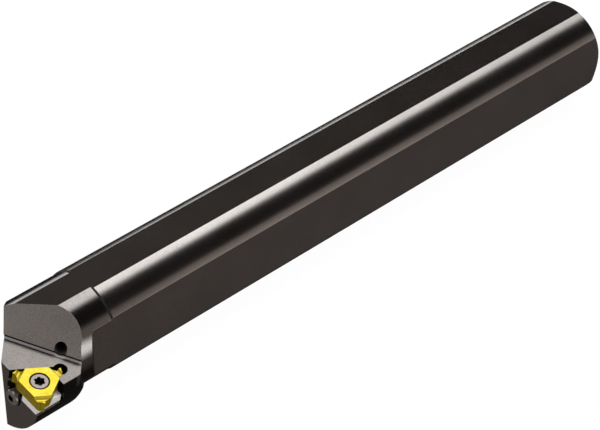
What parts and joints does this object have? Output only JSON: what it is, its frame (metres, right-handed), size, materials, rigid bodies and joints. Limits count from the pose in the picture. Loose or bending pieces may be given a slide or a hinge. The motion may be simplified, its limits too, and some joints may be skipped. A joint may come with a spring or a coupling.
{
  "type": "threading tool holder",
  "caption": "Steel bar for internal threading with clamping flats, coolant outlet, shim and a screwed-down three-cornered insert.",
  "frame": {"origin": "centre of the rear end face, on the axis of the shank", "axes": "+X along the shank towards the cutting head, +Y towards the cutting point, +Z square to the top flat"},
  "size_m": [0.2511, 0.0367, 0.0335],
  "materials": {
    "black_oxide_steel": "black oxide, satin",
    "coated_carbide": "gold nitride coating, satin",
    "ground_carbide": "ground, bare",
    "bright_steel": "turned, bright"
  },
  "bodies": {
    "root": {"bar": "black_oxide_steel", "shim": "ground_carbide", "shim_screw": "bright_steel", "threading_insert": "coated_carbide", "insert_screw": "bright_steel"}
  },
  "joints": []
}
